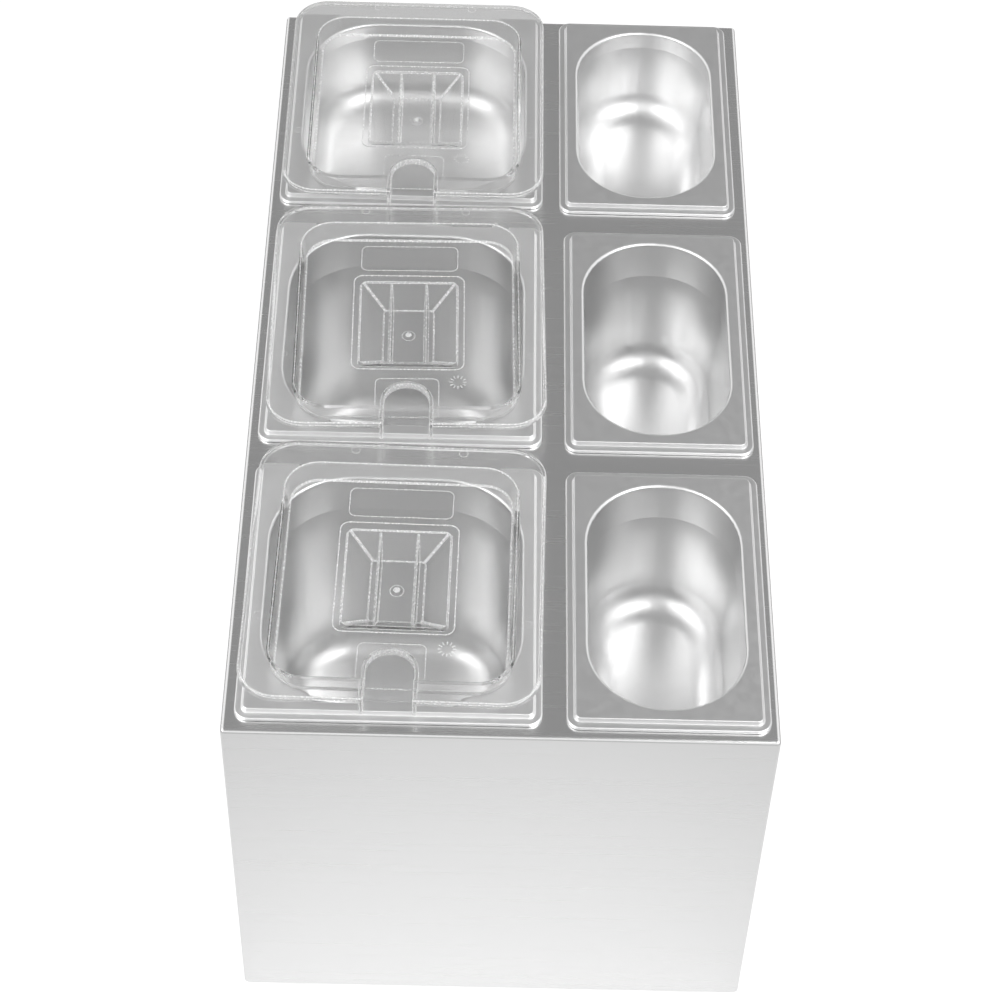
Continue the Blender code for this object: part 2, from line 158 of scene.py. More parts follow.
def surface_material(name: str, values: dict) -> tuple[Material, NodeTree, Node, NodeSocket]:
    """Make a material with one Principled shader.

    Args:
        name: The material's name.
        values: Constants for the shader's own sockets.

    Returns:
        The material, its node tree, its shader and the place of each point of the object.
    """
    material = bpy.data.materials.new(name)
    material.use_nodes = True
    tree = material.node_tree
    shader = tree.nodes["Principled BSDF"]
    for key, value in values.items():
        shader.inputs[key].default_value = value
    return material, tree, shader, add_node(tree, "TexCoord").outputs["Object"]


@dataclass(frozen=True)
class BrushedStainless:
    """Stainless sheet, belt-brushed in one direction.

    The grit leaves long parallel scratches, so reflections smear across the grain and the
    sheet reads as a soft grey with fine streaks along it.
    """

    name: str
    along_y: bool = False
    colour: str = "EFEFEF"
    roughness: float = 0.26
    roughness_swing: float = 0.025
    anisotropy: float = 0.5
    anisotropic_turn: float = 0.25
    scratch_spacing: float = 0.45 * MM  # drawn wider than the real 0.1 mm, so that it shows
    scratch_length: float = 90 * MM
    band_spacing: float = 4 * MM
    scratch_depth: float = 0.0004 * MM

    def build(self) -> Material:
        """Make the node material.

        Returns:
            The material.
        """
        material, tree, shader, place = surface_material(self.name, {
            "Base Color": linear(self.colour), "Metallic": 1.0,
            "Anisotropic": self.anisotropy, "Anisotropic Rotation": self.anisotropic_turn})
        across, along = 1 / self.scratch_spacing, 1 / self.scratch_length
        scale = (across, along, across) if self.along_y else (along, across, across)
        fine_place = add_node(tree, "Mapping", {"Vector": place, "Scale": scale})
        fine = add_node(tree, "TexNoise", {
            "Vector": fine_place, "Scale": 1.0, "Detail": 3.0, "Roughness": 0.6})
        share = self.scratch_spacing / self.band_spacing
        band_place = add_node(tree, "Mapping", {
            "Vector": place, "Scale": tuple(value * share for value in scale)})
        band = add_node(tree, "TexNoise", {"Vector": band_place, "Scale": 1.0, "Detail": 2.0})
        both = add_node(tree, "Math", {0: fine, 1: band}, operation="ADD")
        add_node(tree, "MapRange", {
            "Value": both, "From Min": 2 * NOISE_LOW, "From Max": 2 * NOISE_HIGH,
            "To Min": self.roughness - self.roughness_swing,
            "To Max": self.roughness + self.roughness_swing}, feeds=shader.inputs["Roughness"])
        add_node(tree, "Bump", {"Height": fine, "Strength": 1.0, "Distance": self.scratch_depth},
                 feeds=shader.inputs["Normal"])
        add_node(tree, "CombineXYZ", {
            "X": 0.0 if self.along_y else 1.0, "Y": 1.0 if self.along_y else 0.0},
            feeds=shader.inputs["Tangent"])
        return material


@dataclass(frozen=True)
class SatinStainless:
    """Deep-drawn stainless steel with a satin face.

    The draw stretches the sheet down the walls, which leaves faint upright streaks there and
    a soft, slightly uneven sheen on the flat faces.
    """

    name: str
    colour: str = "EDEDED"
    roughness: float = 0.38
    roughness_swing: float = 0.03
    streak_spacing: float = 3.5 * MM
    streak_length: float = 60 * MM

    def build(self) -> Material:
        """Make the node material.

        Returns:
            The material.
        """
        material, tree, shader, place = surface_material(self.name, {
            "Base Color": linear(self.colour), "Metallic": 1.0})
        across = 1 / self.streak_spacing
        streak_place = add_node(tree, "Mapping", {
            "Vector": place, "Scale": (across, across, 1 / self.streak_length)})
        streak = add_node(tree, "TexNoise", {
            "Vector": streak_place, "Scale": 1.0, "Detail": 3.0})
        add_node(tree, "MapRange", {
            "Value": streak, "From Min": NOISE_LOW, "From Max": NOISE_HIGH,
            "To Min": self.roughness - self.roughness_swing,
            "To Max": self.roughness + self.roughness_swing}, feeds=shader.inputs["Roughness"])
        return material


@dataclass(frozen=True)
class ClearPolycarbonate:
    """Injection-moulded clear polycarbonate.

    It is glassy and nearly colourless, with a thin milky veil, and a faint flow ripple that
    the melt leaves in the flat walls. Its index is written low, because with a real one the
    lid's bends render as dark streaks. A coat gives the gloss that it then lacks.
    """

    name: str
    colour: str = WHITE
    roughness: float = 0.03
    refraction: float = 1.07
    clearness: float = 0.94
    coat: float = 0.5
    ripple_size: float = 22 * MM
    ripple_depth: float = 0.02 * MM

    def build(self) -> Material:
        """Make the node material.

        Returns:
            The material.
        """
        material, tree, shader, place = surface_material(self.name, {
            "Base Color": linear(self.colour), "Roughness": self.roughness,
            "IOR": self.refraction, "Transmission Weight": self.clearness,
            "Coat Weight": self.coat, "Coat Roughness": self.roughness})
        ripple = add_node(tree, "TexNoise", {
            "Vector": place, "Scale": 1 / self.ripple_size, "Detail": 1.0})
        add_node(tree, "Bump", {"Height": ripple, "Strength": 1.0, "Distance": self.ripple_depth},
                 feeds=shader.inputs["Normal"])
        return material


@dataclass(frozen=True)
class PaintedHighlightEdge:
    """The rounded edges and bends of a polycarbonate moulding, with a painted highlight.

    The tool leaves them a little matt. Their fine white lines are light that this white,
    half-clear finish paints on as a highlight.
    """

    name: str
    colour: str = WHITE
    roughness: float = 0.25
    roughness_swing: float = 0.08
    refraction: float = 1.2
    clearness: float = 0.35
    matting_size: float = 1.5 * MM

    def build(self) -> Material:
        """Make the node material.

        Returns:
            The material.
        """
        material, tree, shader, place = surface_material(self.name, {
            "Base Color": linear(self.colour), "IOR": self.refraction,
            "Transmission Weight": self.clearness})
        matting = add_node(tree, "TexNoise", {
            "Vector": place, "Scale": 1 / self.matting_size, "Detail": 2.0})
        add_node(tree, "MapRange", {
            "Value": matting, "From Min": NOISE_LOW, "From Max": NOISE_HIGH,
            "To Min": self.roughness - self.roughness_swing,
            "To Max": self.roughness + self.roughness_swing}, feeds=shader.inputs["Roughness"])
        return material


@dataclass(frozen=True)
class MouldedRubber:
    """Compression-moulded black rubber, matt with a dusty grain."""

    name: str
    colour: str = "242424"
    roughness: float = 0.75
    grain_size: float = 0.4 * MM
    grain_depth: float = 0.02 * MM
    grain_strength: float = 0.6

    def build(self) -> Material:
        """Make the node material.

        Returns:
            The material.
        """
        material, tree, shader, place = surface_material(self.name, {
            "Base Color": linear(self.colour), "Roughness": self.roughness})
        grain = add_node(tree, "TexNoise", {
            "Vector": place, "Scale": 1 / self.grain_size, "Detail": 2.0})
        add_node(tree, "Bump", {
            "Height": grain, "Strength": self.grain_strength, "Distance": self.grain_depth},
            feeds=shader.inputs["Normal"])
        return material


@dataclass(frozen=True)
class Run:
    """A straight stretch of a drawn section, along its present heading."""

    length: float


@dataclass(frozen=True)
class Turn:
    """A round stretch that ends on a new heading, in degrees from level inwards to up."""

    radius: float
    heading: float
    steps: int = 5


def section_steps(path: Iterable[Run | Turn], heading: float) -> Iterator[tuple[float, float]]:
    """Walk a section, as inward and upward steps.

    Args:
        path: Its straight and round stretches.
        heading: The heading at its start, in degrees.

    Yields:
        Each step as its length inwards and its length upwards.
    """
    present = math.radians(heading)
    for part in path:
        if isinstance(part, Run):
            yield part.length * math.cos(present), part.length * math.sin(present)
            continue
        end = math.radians(part.heading)
        reach = math.copysign(part.radius, end - present)
        for step in range(part.steps):
            first = present + (end - present) * step / part.steps
            last = present + (end - present) * (step + 1) / part.steps
            yield (reach * (math.sin(last) - math.sin(first)),
                   reach * (math.cos(first) - math.cos(last)))
        present = end


def slope(rise: float, first_radius: float, last_radius: float, angle: float) -> list[Run | Turn]:
    """A bend, a straight stretch and a bend back to level that climb or drop by a height.

    Args:
        rise: The height gained, or lost if it is negative.
        first_radius: The radius of the first bend.
        last_radius: The radius of the second bend.
        angle: The heading of the straight stretch, in degrees.

    Returns:
        The three stretches, for a section that is level where they start.
    """
    tilt = math.radians(abs(angle))
    first_gain = first_radius * (1 - math.cos(tilt))
    last_gain = last_radius * (1 - math.cos(tilt))
    length = (abs(rise) - first_gain - last_gain) / math.sin(tilt)
    return [Turn(first_radius, angle), Run(length), Turn(last_radius, LEVEL)]


def add_outline(bm: BMesh, width: float, length: float, corner: float, height: float,
                centre: tuple[float, float] = (0.0, 0.0), segments: int = 12) -> BMFace:
    """Add a level rounded rectangle as one face.

    Args:
        bm: The mesh under construction.
        width: Its size along X.
        length: Its size along Y.
        corner: The radius of its corners.
        height: Its level.
        centre: Its middle.
        segments: Facets of each corner.

    Returns:
        The face, which looks up.
    """
    before = set(bm.faces)
    made = bmesh.ops.create_grid(bm, x_segments=1, y_segments=1, size=0.5)
    bmesh.ops.scale(bm, vec=(width, length, 1.0), verts=made["verts"])
    bmesh.ops.translate(bm, vec=(*centre, height), verts=made["verts"])
    bmesh.ops.bevel(bm, geom=made["verts"], offset=corner, offset_type="OFFSET",
                    segments=segments, profile=0.5, affect="VERTICES", material=-1)
    return (set(bm.faces) - before).pop()


def draw_section(bm: BMesh, cap: BMFace, heading: float, *path: Run | Turn) -> None:
    """Draw a cap face along a section, which leaves walls behind it."""
    for inward, upward in section_steps(path, heading):
        bmesh.ops.inset_region(bm, faces=[cap], thickness=max(inward, 0.0), depth=upward,
                               use_boundary=True, use_even_offset=True)


def bridge_caps(bm: BMesh, outer: BMFace, inner: BMFace) -> None:
    """Join the rim of one cap to the rim of the next, and drop the first cap.

    Args:
        bm: The mesh under construction.
        outer: The cap that is dropped.
        inner: The cap that stays.
    """
    edges = list(outer.edges) + list(inner.edges)
    bmesh.ops.delete(bm, geom=[outer], context="FACES_ONLY")
    bmesh.ops.bridge_loops(bm, edges=edges)


def add_block(bm: BMesh, low: Vector, high: Vector) -> list[BMVert]:
    """Add a block between two corners.

    Args:
        bm: The mesh under construction.
        low: Its lowest corner.
        high: Its highest corner.

    Returns:
        Its vertices.
    """
    made = bmesh.ops.create_cube(bm, size=1.0)
    bmesh.ops.scale(bm, vec=high - low, verts=made["verts"])
    bmesh.ops.translate(bm, vec=(low + high) / 2, verts=made["verts"])
    return made["verts"]


def face_out(bm: BMesh, upper: BMFace) -> None:
    """Make a skin's faces agree, with a given face looking up.

    Args:
        bm: The mesh under construction.
        upper: The face that looks up.
    """
    bmesh.ops.recalc_face_normals(bm, faces=list(bm.faces))
    if upper.normal.z < 0:
        bmesh.ops.reverse_faces(bm, faces=list(bm.faces))


def add_object(name: str, data: ID) -> Object:
    """Make an object of a mesh, a lamp or a camera, and link it to the scene.

    Args:
        name: Its name.
        data: The mesh, lamp or camera.

    Returns:
        The object.
    """
    made = bpy.data.objects.new(name, data)
    bpy.context.scene.collection.objects.link(made)
    return made


def as_object(name: str, bm: BMesh) -> Object:
    """Turn a bmesh into a linked object.

    Args:
        name: The name of the object and of its mesh.
        bm: The bmesh, which is freed.

    Returns:
        The object.
    """
    mesh = bpy.data.meshes.new(name)
    bm.to_mesh(mesh)
    bm.free()
    return add_object(name, mesh)


def take_mesh(piece: Object) -> Mesh:
    """Drop an object and keep its mesh.

    Args:
        piece: The object.

    Returns:
        Its mesh.
    """
    mesh = piece.data
    bpy.data.objects.remove(piece, do_unlink=True)
    return mesh


def of_kind(items: Iterable, kind: type) -> list:
    """Pick the items of one kind, such as vertices, from an operator's result."""
    return [item for item in items if isinstance(item, kind)]


def shade(piece: Object) -> None:
    """Shade bends smooth and keep sharper folds crisp."""
    piece.data.shade_smooth()
    piece.data.set_sharp_from_angle(angle=SMOOTH_BELOW)


def settle(piece: Object) -> None:
    """Make the result of a piece's modifiers its own mesh.

    Args:
        piece: The piece, which keeps no modifier.
    """
    depsgraph = bpy.context.evaluated_depsgraph_get()
    settled = bpy.data.meshes.new_from_object(piece.evaluated_get(depsgraph))
    piece.modifiers.clear()
    piece.data = settled


def thicken(piece: Object, thickness: float) -> None:
    """Give a skin its wall, behind the face that was modelled.

    Args:
        piece: The skin, which gets a modifier.
        thickness: How thick the wall is.
    """
    wall = piece.modifiers.new("wall", "SOLIDIFY")
    wall.thickness = thickness
    wall.offset = -1.0
    wall.use_even_offset = True


def even_normals(piece: Object) -> None:
    """Let large flat faces keep their own normals next to small bends."""
    weighting = piece.modifiers.new("even_normals", "WEIGHTED_NORMAL")
    weighting.keep_sharp = True


def combine(target: Object, bm: BMesh, operation: Join) -> None:
    """Cut or join a tool into its target, and drop the tool.

    Args:
        target: The piece that is changed.
        bm: The tool's closed mesh.
        operation: Whether the tool is added or cut out.
    """
    bmesh.ops.recalc_face_normals(bm, faces=list(bm.faces))
    tool = as_object("tool", bm)
    for material in target.data.materials:
        tool.data.materials.append(material)
    cut = target.modifiers.new("cut", "BOOLEAN")
    cut.operation = operation.value
    cut.solver = "EXACT"
    cut.object = tool
    settle(target)
    bpy.data.objects.remove(tool, do_unlink=True)


def merge_slivers(piece: Object, near: float) -> None:
    """Merge the tiny edges that cuts leave, and the triangles of each flat face.

    Args:
        piece: The cut piece.
        near: The length up to which an edge is tiny.
    """
    bm = bmesh.new()
    bm.from_mesh(piece.data)
    bmesh.ops.remove_doubles(bm, verts=list(bm.verts), dist=near)
    bmesh.ops.dissolve_degenerate(bm, edges=list(bm.edges), dist=near)
    bmesh.ops.dissolve_limit(bm, angle_limit=FLAT_BELOW, use_dissolve_boundaries=False,
                             verts=list(bm.verts), edges=list(bm.edges), delimit={"MATERIAL"})
    bm.to_mesh(piece.data)
    bm.free()


def fill_round(bm: BMesh, outer: BMFace, island: BMFace) -> None:
    """Fill the flat ground between a cap's rim and an island on it, and drop the cap.

    Args:
        bm: The mesh under construction.
        outer: The cap.
        island: The face on it, which stays.
    """
    edges = [*outer.edges, *island.edges]
    bmesh.ops.delete(bm, geom=[outer], context="FACES_ONLY")
    bmesh.ops.triangle_fill(bm, use_beauty=True, use_dissolve=False, edges=edges, normal=UP)


def raise_faces(bm: BMesh, faces: list[BMFace], height: float) -> None:
    """Extrude level faces up into a closed body."""
    made = bmesh.ops.extrude_face_region(bm, geom=faces, use_keep_orig=True)
    bmesh.ops.translate(bm, vec=(0.0, 0.0, height), verts=of_kind(made["geom"], BMVert))


def add_prism(bm: BMesh, width: float, length: float, corner: float, low: float, high: float,
              centre: tuple[float, float] = (0.0, 0.0)) -> None:
    """Add a closed upright prism over a rounded rectangle."""
    floor = add_outline(bm, width, length, corner, low, centre)
    raise_faces(bm, [floor], high - low)


def add_bead(bm: BMesh, width: float, length: float, corner: float, level: float,
             centre: tuple[float, float], band: float, height: float) -> None:
    """Add a closed low bead along a rounded rectangle.

    Args:
        bm: The mesh under construction.
        width: The outline's size along X.
        length: The outline's size along Y.
        corner: The radius of its corners.
        level: The level of the bead's foot.
        centre: The outline's middle.
        band: How wide the bead is.
        height: How high it is.
    """
    cap = add_outline(bm, width, length, corner, level, centre)
    ring = bmesh.ops.inset_region(bm, faces=[cap], thickness=band, depth=0.0,
                                  use_boundary=True, use_even_offset=True)["faces"]
    bmesh.ops.delete(bm, geom=[cap], context="FACES_ONLY")
    raise_faces(bm, ring, height)


def paint_highlight(bm: BMesh) -> BMesh:
    """Give all faces of a tool the painted highlight finish of the lid's edges.

    Args:
        bm: The tool.

    Returns:
        The same tool.
    """
    for face in bm.faces:
        face.material_index = HIGHLIGHT_SLOT
    return bm


def finish_shell(piece: Object, thickness: float) -> None:
    """Give a drawn or folded skin its wall, and shade it.

    Args:
        piece: The skin.
        thickness: How thick its wall is.
    """
    thicken(piece, thickness)
    settle(piece)
    shade(piece)
    even_normals(piece)


def dress(piece: Object, material: Material | None, body: str, slot: Slot, *nodes: str) -> None:
    """Give a finished piece its material, body and the nodes that it stands for.

    Args:
        piece: The piece.
        material: Its finish, or None where it has one already.
        body: The body that it rides on.
        slot: The record's slot for its finish; not used.
        nodes: The nodes that it stands for.
    """
    if material is not None:
        piece.data.materials.append(material)
    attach(piece, body)
    if nodes:
        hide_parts(*nodes)
    LOG.info("%s rides on %s", piece.name, body)


@dataclass
class Housing:
    """The folded box: deck, four panels, return flanges, cross rails and feet."""

    sheet: float = 1.2 * MM
    bend: float = 2.3 * MM
    bend_steps: int = 6
    level_slack: float = 0.12 * MM
    return_flange: float = 20 * MM
    row_pitch: float = 193 * MM
    cutout_length: float = 162 * MM
    cutout_corner: float = 50 * MM
    column_places: tuple[float, float] = (-60.5 * MM, 87.5 * MM)
    cutout_widths: tuple[float, float] = (148 * MM, 94 * MM)
    body: str = "housing"

    def build(self) -> None:
        """Build and dress every piece of the box."""
        self.build_sheets()
        rail_finish = BrushedStainless("rail_stainless").build()
        for end in ("front", "rear"):
            self.keep_node(f"cross_rail_{end}", rail_finish)
        rubber = MouldedRubber("foot_rubber").build()
        for end in ("front", "rear"):
            for side in ("left", "right"):
                Foot(f"foot_{end}_{side}").build(rubber, self.body)

    def keep_node(self, node: str, material: Material) -> None:
        """Finish a node of the frame whose shape stays as it is.

        Args:
            node: The node's name.
            material: Its finish.
        """
        piece = bpy.data.objects[node]
        piece.data.materials.clear()
        piece.data.materials.append(material)
        LOG.info("%s keeps its own shape", node)

    def build_sheets(self) -> None:
        """Shape the outside as one rounded box, and part it into its three sheets."""
        low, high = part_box("deck_wrap")
        bm = bmesh.new()
        add_block(bm, low + Vector((0.0, 0.0, self.bend)), high)
        bm.normal_update()
        folds = [edge for edge in bm.edges if max(vert.co.z for vert in edge.verts) > low.z + self.bend]
        bmesh.ops.bevel(bm, geom=folds, offset=self.bend, offset_type="OFFSET",
                        segments=self.bend_steps, profile=0.5, affect="EDGES", material=-1)
        bm.normal_update()
        self.open_deck(bm, high.z)
        self.turn_in_flanges(bm)
        face_out(bm, max(bm.faces, key=lambda face: face.calc_center_median().z))
        bm.faces.index_update()
        sides = {-1: set(), 1: set()}
        for face in bm.faces:
            middle = face.calc_center_median()
            if self.is_side(face, middle, high):
                sides[1 if middle.x > 0 else -1].add(face.index)
        wrap = set(range(len(bm.faces))) - sides[-1] - sides[1]
        across = BrushedStainless("wrap_stainless").build()
        lengthways = BrushedStainless("side_stainless", along_y=True).build()
        for node, keep, finish in (("deck_wrap", wrap, across),
                                   ("left_side_panel", sides[-1], lengthways),
                                   ("right_side_panel", sides[1], lengthways)):
            part = bm.copy()
            part.faces.ensure_lookup_table()
            doomed = [face for face in part.faces if face.index not in keep]
            bmesh.ops.delete(part, geom=doomed, context="FACES")
            piece = as_object(f"{node}_sheet", part)
            finish_shell(piece, self.sheet)
            dress(piece, finish, self.body, Slot.SHEET, node)
        bm.free()

    def open_deck(self, bm: BMesh, level: float) -> None:
        """Refill the top face round the six rounded cut-outs, and open the bottom.

        Args:
            bm: The mesh under construction.
            level: The deck's level.
        """
        flat = [face for face in bm.faces if abs(face.normal.z) > LEVEL_FACE_SHARE]
        top = max(flat, key=lambda face: face.calc_center_median().z)
        rims = list(top.edges)
        bmesh.ops.delete(bm, geom=flat, context="FACES_ONLY")
        holes = []
        for place, width in zip(self.column_places, self.cutout_widths):
            corner = min(self.cutout_corner, SHORT_END_SHARE * width)
            for row in (-1, 0, 1):
                holes.append(add_outline(bm, width, self.cutout_length, corner, level,
                                         (place, row * self.row_pitch)))
        for hole in holes:
            rims += list(hole.edges)
        bmesh.ops.delete(bm, geom=holes, context="FACES_ONLY")
        bmesh.ops.triangle_fill(bm, use_beauty=True, use_dissolve=False, edges=rims, normal=UP)

    def turn_in_flanges(self, bm: BMesh) -> None:
        """Fold the four straight lower edges inwards, with mitred ends.

        Args:
            bm: The mesh under construction.
        """
        lowest = min(vert.co.z for vert in bm.verts)
        straight = [edge for edge in bm.edges
                    if all(abs(vert.co.z - lowest) < self.level_slack for vert in edge.verts)
                    and edge.calc_length() > self.return_flange]
        for edge in straight:
            first, last = (vert.co for vert in edge.verts)
            middle = (first + last) / 2
            runs_along_y = abs(first.x - last.x) < self.sheet
            inward = Vector((-middle.x, 0.0, 0.0) if runs_along_y else (0.0, -middle.y, 0.0))
            inward.normalize()
            centre = middle + inward * self.bend
            axis = Vector((0.0, 0.0, -1.0)).cross(inward)
            spun = bmesh.ops.spin(bm, geom=[edge], cent=centre, axis=axis, dvec=(0.0, 0.0, 0.0),
                                  angle=math.radians(UPRIGHT), space=Matrix.Identity(4),
                                  steps=self.bend_steps, use_merge=False,
                                  use_normal_flip=False, use_duplicate=False)
            folded = of_kind(spun["geom_last"], BMEdge)
            made = bmesh.ops.extrude_edge_only(bm, edges=folded)
            ends = of_kind(made["geom"], BMVert)
            reach = self.return_flange - self.bend
            bmesh.ops.translate(bm, vec=inward * reach, verts=ends)
            for vert in ends:
                offset = vert.co - middle
                sideways = offset - inward * offset.dot(inward)
                sideways.z = 0.0
                vert.co -= sideways.normalized() * reach

    def is_side(self, face: BMFace, middle: Vector, high: Vector) -> bool:
        """Tell the faces of a side panel from those of the wrap."""
        return (abs(middle.y) < self.sheet and abs(face.normal.y) < EDGE_ON_SHARE
                and abs(middle.x) > high.x - self.return_flange - self.bend
                and middle.z < high.z - self.bend)


@dataclass
class Foot:
    """One push-in rubber foot, turned about its own axis."""

    node: str
    chamfer: float = 0.8 * MM
    pad_height: float = 2.7 * MM
    neck_radius: float = 3 * MM
    bulb_radius: float = 4.5 * MM
    bulb_level: float = 4.5 * MM
    sides: int = 48
    weld: float = 0.008 * MM

    def build(self, material: Material, body: str) -> None:
        """Spin the foot's profile and dress it.

        Args:
            material: Its finish.
            body: The body that it rides on.
        """
        low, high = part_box(self.node)
        pad = (high.x - low.x) / 2
        profile = ((0.0, low.z), (pad - self.chamfer, low.z), (pad, low.z + self.chamfer),
                   (pad, self.pad_height), (self.neck_radius, self.pad_height),
                   (self.neck_radius, self.bulb_level), (self.bulb_radius, self.bulb_level),
                   (self.neck_radius, high.z), (0.0, high.z))
        centre = Vector(((low.x + high.x) / 2, (low.y + high.y) / 2, 0.0))
        bm = bmesh.new()
        verts = [bm.verts.new(centre + Vector((radius, 0.0, level))) for radius, level in profile]
        edges = [bm.edges.new(pair) for pair in zip(verts, verts[1:])]
        bmesh.ops.spin(bm, geom=verts + edges, cent=centre, axis=UP,
                       dvec=(0.0, 0.0, 0.0), angle=math.tau, space=Matrix.Identity(4),
                       steps=self.sides, use_merge=True, use_normal_flip=False,
                       use_duplicate=False)
        bmesh.ops.remove_doubles(bm, verts=list(bm.verts), dist=self.weld)
        bmesh.ops.recalc_face_normals(bm, faces=list(bm.faces))
        piece = as_object(f"{self.node}_rubber", bm)
        shade(piece)
        dress(piece, material, body, Slot.FOOT, self.node)


@dataclass
class Pan:
    """A deep-drawn pan: stepped flange, necked mouth, shoulder, drafted wall, filleted floor."""

    node: str
    sheet: float = 0.8 * MM
    flange_corner: float = 7.5 * MM
    flange_rise: float = 4.7 * MM
    lip_bend: float = 0.9 * MM
    ledge_run: float = 2.5 * MM
    ledge_rise: float = 2 * MM
    step_hollow: float = 0.5 * MM
    step_bend: float = 0.7 * MM
    step_angle: float = 72.0
    mouth_inset: float = 12 * MM
    mouth_corner: float = 45 * MM
    mouth_bend: float = 2 * MM
    neck_depth: float = 27 * MM
    shallow_neck_depth: float = 12 * MM
    shallow_below: float = 70 * MM
    shoulder_bend: float = 1.5 * MM
    shoulder_angle: float = -81.0
    shoulder_steps: int = 2
    wall_bend: float = 170 * MM
    wall_angle: float = -87.5
    wall_steps: int = 4
    floor_fillet: float = 18 * MM
    fillet_steps: int = 14
    dish_angle: float = 0.0
    dish_radius: float = 66 * MM

    def build(self, material: Material) -> None:
        """Draw the pan and dress it.

        Args:
            material: Its finish.
        """
        low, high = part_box(self.node)
        centre = ((low.x + high.x) / 2, (low.y + high.y) / 2)
        width, length, depth = high - low
        bm = bmesh.new()
        flange = add_outline(bm, width, length, self.flange_corner, high.z - self.flange_rise,
                             centre)
        step_rise = self.flange_rise - self.ledge_rise
        draw_section(bm, flange, UPRIGHT,
                     Run(self.ledge_rise - self.lip_bend), Turn(self.lip_bend, LEVEL),
                     Run(self.ledge_run),
                     *slope(step_rise, self.step_hollow, self.step_bend, self.step_angle))
        inset = 2 * (self.mouth_inset - self.mouth_bend)
        corner = min(self.mouth_corner + self.mouth_bend, SHORT_END_SHARE * (width - inset))
        mouth = add_outline(bm, width - inset, length - inset, corner, high.z, centre)
        bridge_caps(bm, flange, mouth)
        draw_section(bm, mouth, LEVEL, *self.well(depth))
        face_out(bm, mouth)
        piece = as_object(f"{self.node}_drawn", bm)
        finish_shell(piece, self.sheet)
        dress(piece, material, self.node, Slot.PAN, self.node)

    def well(self, depth: float) -> list[Run | Turn]:
        """Work out the section from the mouth's bend to the floor.

        Args:
            depth: How deep the pan is outside.

        Returns:
            The section's stretches.
        """
        neck = self.shallow_neck_depth if depth < self.shallow_below else self.neck_depth
        upper = [Turn(self.mouth_bend, -UPRIGHT), Run(neck - self.mouth_bend),
                 Turn(self.shoulder_bend, self.shoulder_angle, self.shoulder_steps),
                 Turn(self.wall_bend, self.wall_angle, self.wall_steps)]
        floor = [Turn(self.floor_fillet, -self.dish_angle, self.fillet_steps)]
        if self.dish_angle:
            floor.append(Turn(self.dish_radius, LEVEL))
        drop = -sum(rise for _, rise in section_steps(upper, LEVEL))
        drop -= sum(rise for _, rise in section_steps(floor, self.wall_angle))
        wall = (depth - self.sheet - drop) / math.sin(math.radians(-self.wall_angle))
        return [*upper, Run(wall), *floor]


